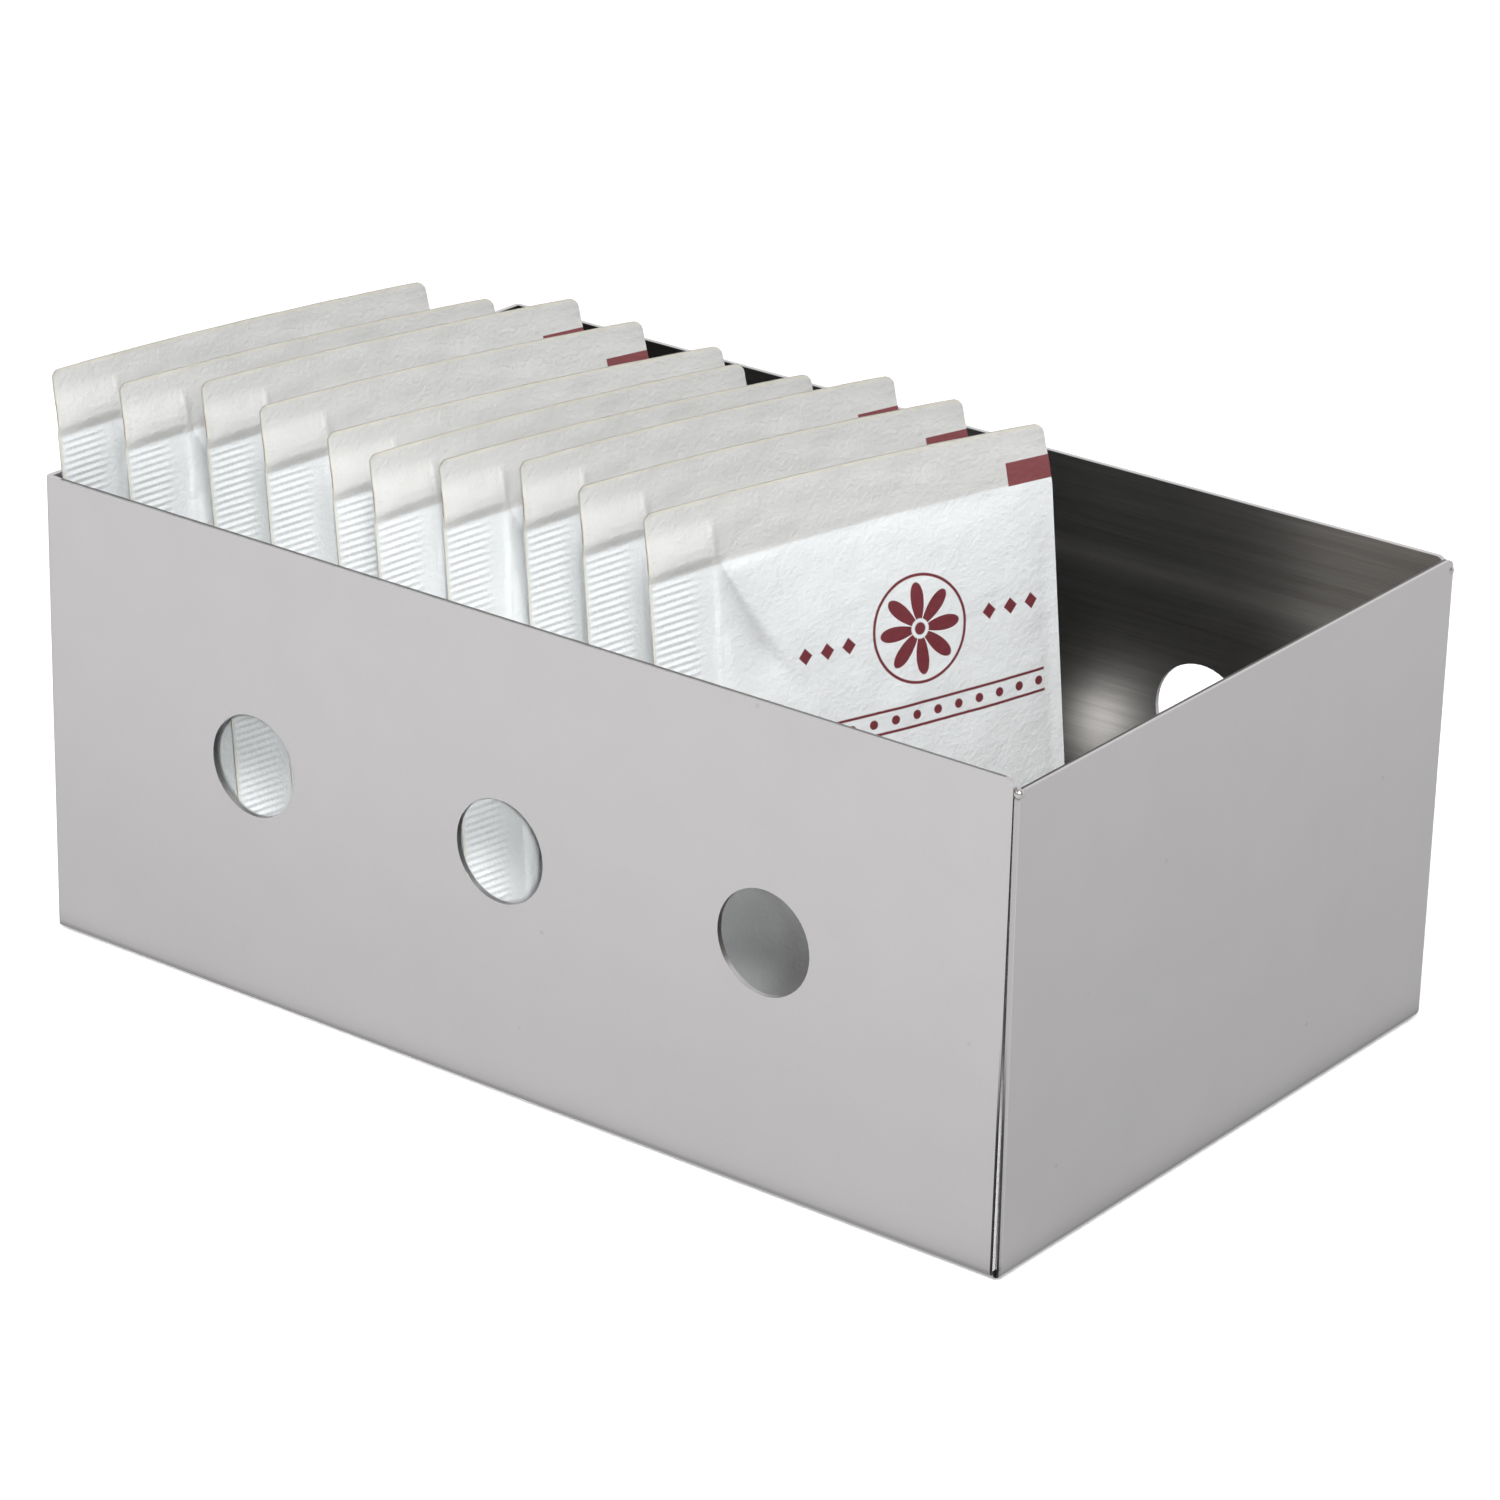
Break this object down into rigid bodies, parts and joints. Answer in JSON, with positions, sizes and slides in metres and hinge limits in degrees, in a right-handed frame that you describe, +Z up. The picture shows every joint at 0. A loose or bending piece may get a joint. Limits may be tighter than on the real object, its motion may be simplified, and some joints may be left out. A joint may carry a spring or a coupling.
{
  "type": "sugar packet holder",
  "caption": "Open rectangular steel tray with round holes in its long walls, holding paper sugar packets that stand on edge and lift out.",
  "frame": {"origin": "on the table, under the middle of the tray", "axes": "+X along the tray's length to its empty end, +Y from the front wall to the back wall, +Z up"},
  "size_m": [0.1202, 0.0744, 0.0621],
  "materials": {
    "satin_steel": "satin",
    "weld_steel": "satin",
    "packet_paper": "satin",
    "loose_sugar": "matte"
  },
  "bodies": {
    "tray": {"folded_tray": "satin_steel", "corner_tack_welds": "weld_steel"},
    "packet_01": {"packet_01_envelope": "packet_paper", "packet_01_sugar": "loose_sugar"},
    "packet_02": {"packet_02_envelope": "packet_paper", "packet_02_sugar": "loose_sugar"},
    "packet_03": {"packet_03_envelope": "packet_paper", "packet_03_sugar": "loose_sugar"},
    "packet_04": {"packet_04_envelope": "packet_paper", "packet_04_sugar": "loose_sugar"},
    "packet_05": {"packet_05_envelope": "packet_paper", "packet_05_sugar": "loose_sugar"},
    "packet_06": {"packet_06_envelope": "packet_paper", "packet_06_sugar": "loose_sugar"},
    "packet_07": {"packet_07_envelope": "packet_paper", "packet_07_sugar": "loose_sugar"},
    "packet_08": {"packet_08_envelope": "packet_paper", "packet_08_sugar": "loose_sugar"},
    "packet_09": {"packet_09_envelope": "packet_paper", "packet_09_sugar": "loose_sugar"},
    "packet_10": {"packet_10_envelope": "packet_paper", "packet_10_sugar": "loose_sugar"}
  },
  "joints": [
    {"name": "packet_01_lift", "type": "slide", "parent": "tray", "child": "packet_01", "axis": [-0.1065, 0.0042, 0.9943], "range_m": [0, 0.055]},
    {"name": "packet_02_lift", "type": "slide", "parent": "tray", "child": "packet_02", "axis": [-0.1045, 0.0129, 0.9944], "range_m": [0, 0.055]},
    {"name": "packet_03_lift", "type": "slide", "parent": "tray", "child": "packet_03", "axis": [-0.1054, 0.011, 0.9944], "range_m": [0, 0.055]},
    {"name": "packet_04_lift", "type": "slide", "parent": "tray", "child": "packet_04", "axis": [-0.1061, 0.0098, 0.9943], "range_m": [0, 0.055]},
    {"name": "packet_05_lift", "type": "slide", "parent": "tray", "child": "packet_05", "axis": [-0.109, 0.0043, 0.994], "range_m": [0, 0.055]},
    {"name": "packet_06_lift", "type": "slide", "parent": "tray", "child": "packet_06", "axis": [-0.1045, 0.0131, 0.9944], "range_m": [0, 0.055]},
    {"name": "packet_07_lift", "type": "slide", "parent": "tray", "child": "packet_07", "axis": [-0.1014, 0.0253, 0.9945], "range_m": [0, 0.055]},
    {"name": "packet_08_lift", "type": "slide", "parent": "tray", "child": "packet_08", "axis": [-0.1022, 0.0224, 0.9945], "range_m": [0, 0.055]},
    {"name": "packet_09_lift", "type": "slide", "parent": "tray", "child": "packet_09", "axis": [-0.1039, 0.0175, 0.9944], "range_m": [0, 0.055]},
    {"name": "packet_10_lift", "type": "slide", "parent": "tray", "child": "packet_10", "axis": [-0.1089, 0.0062, 0.994], "range_m": [0, 0.055]}
  ]
}
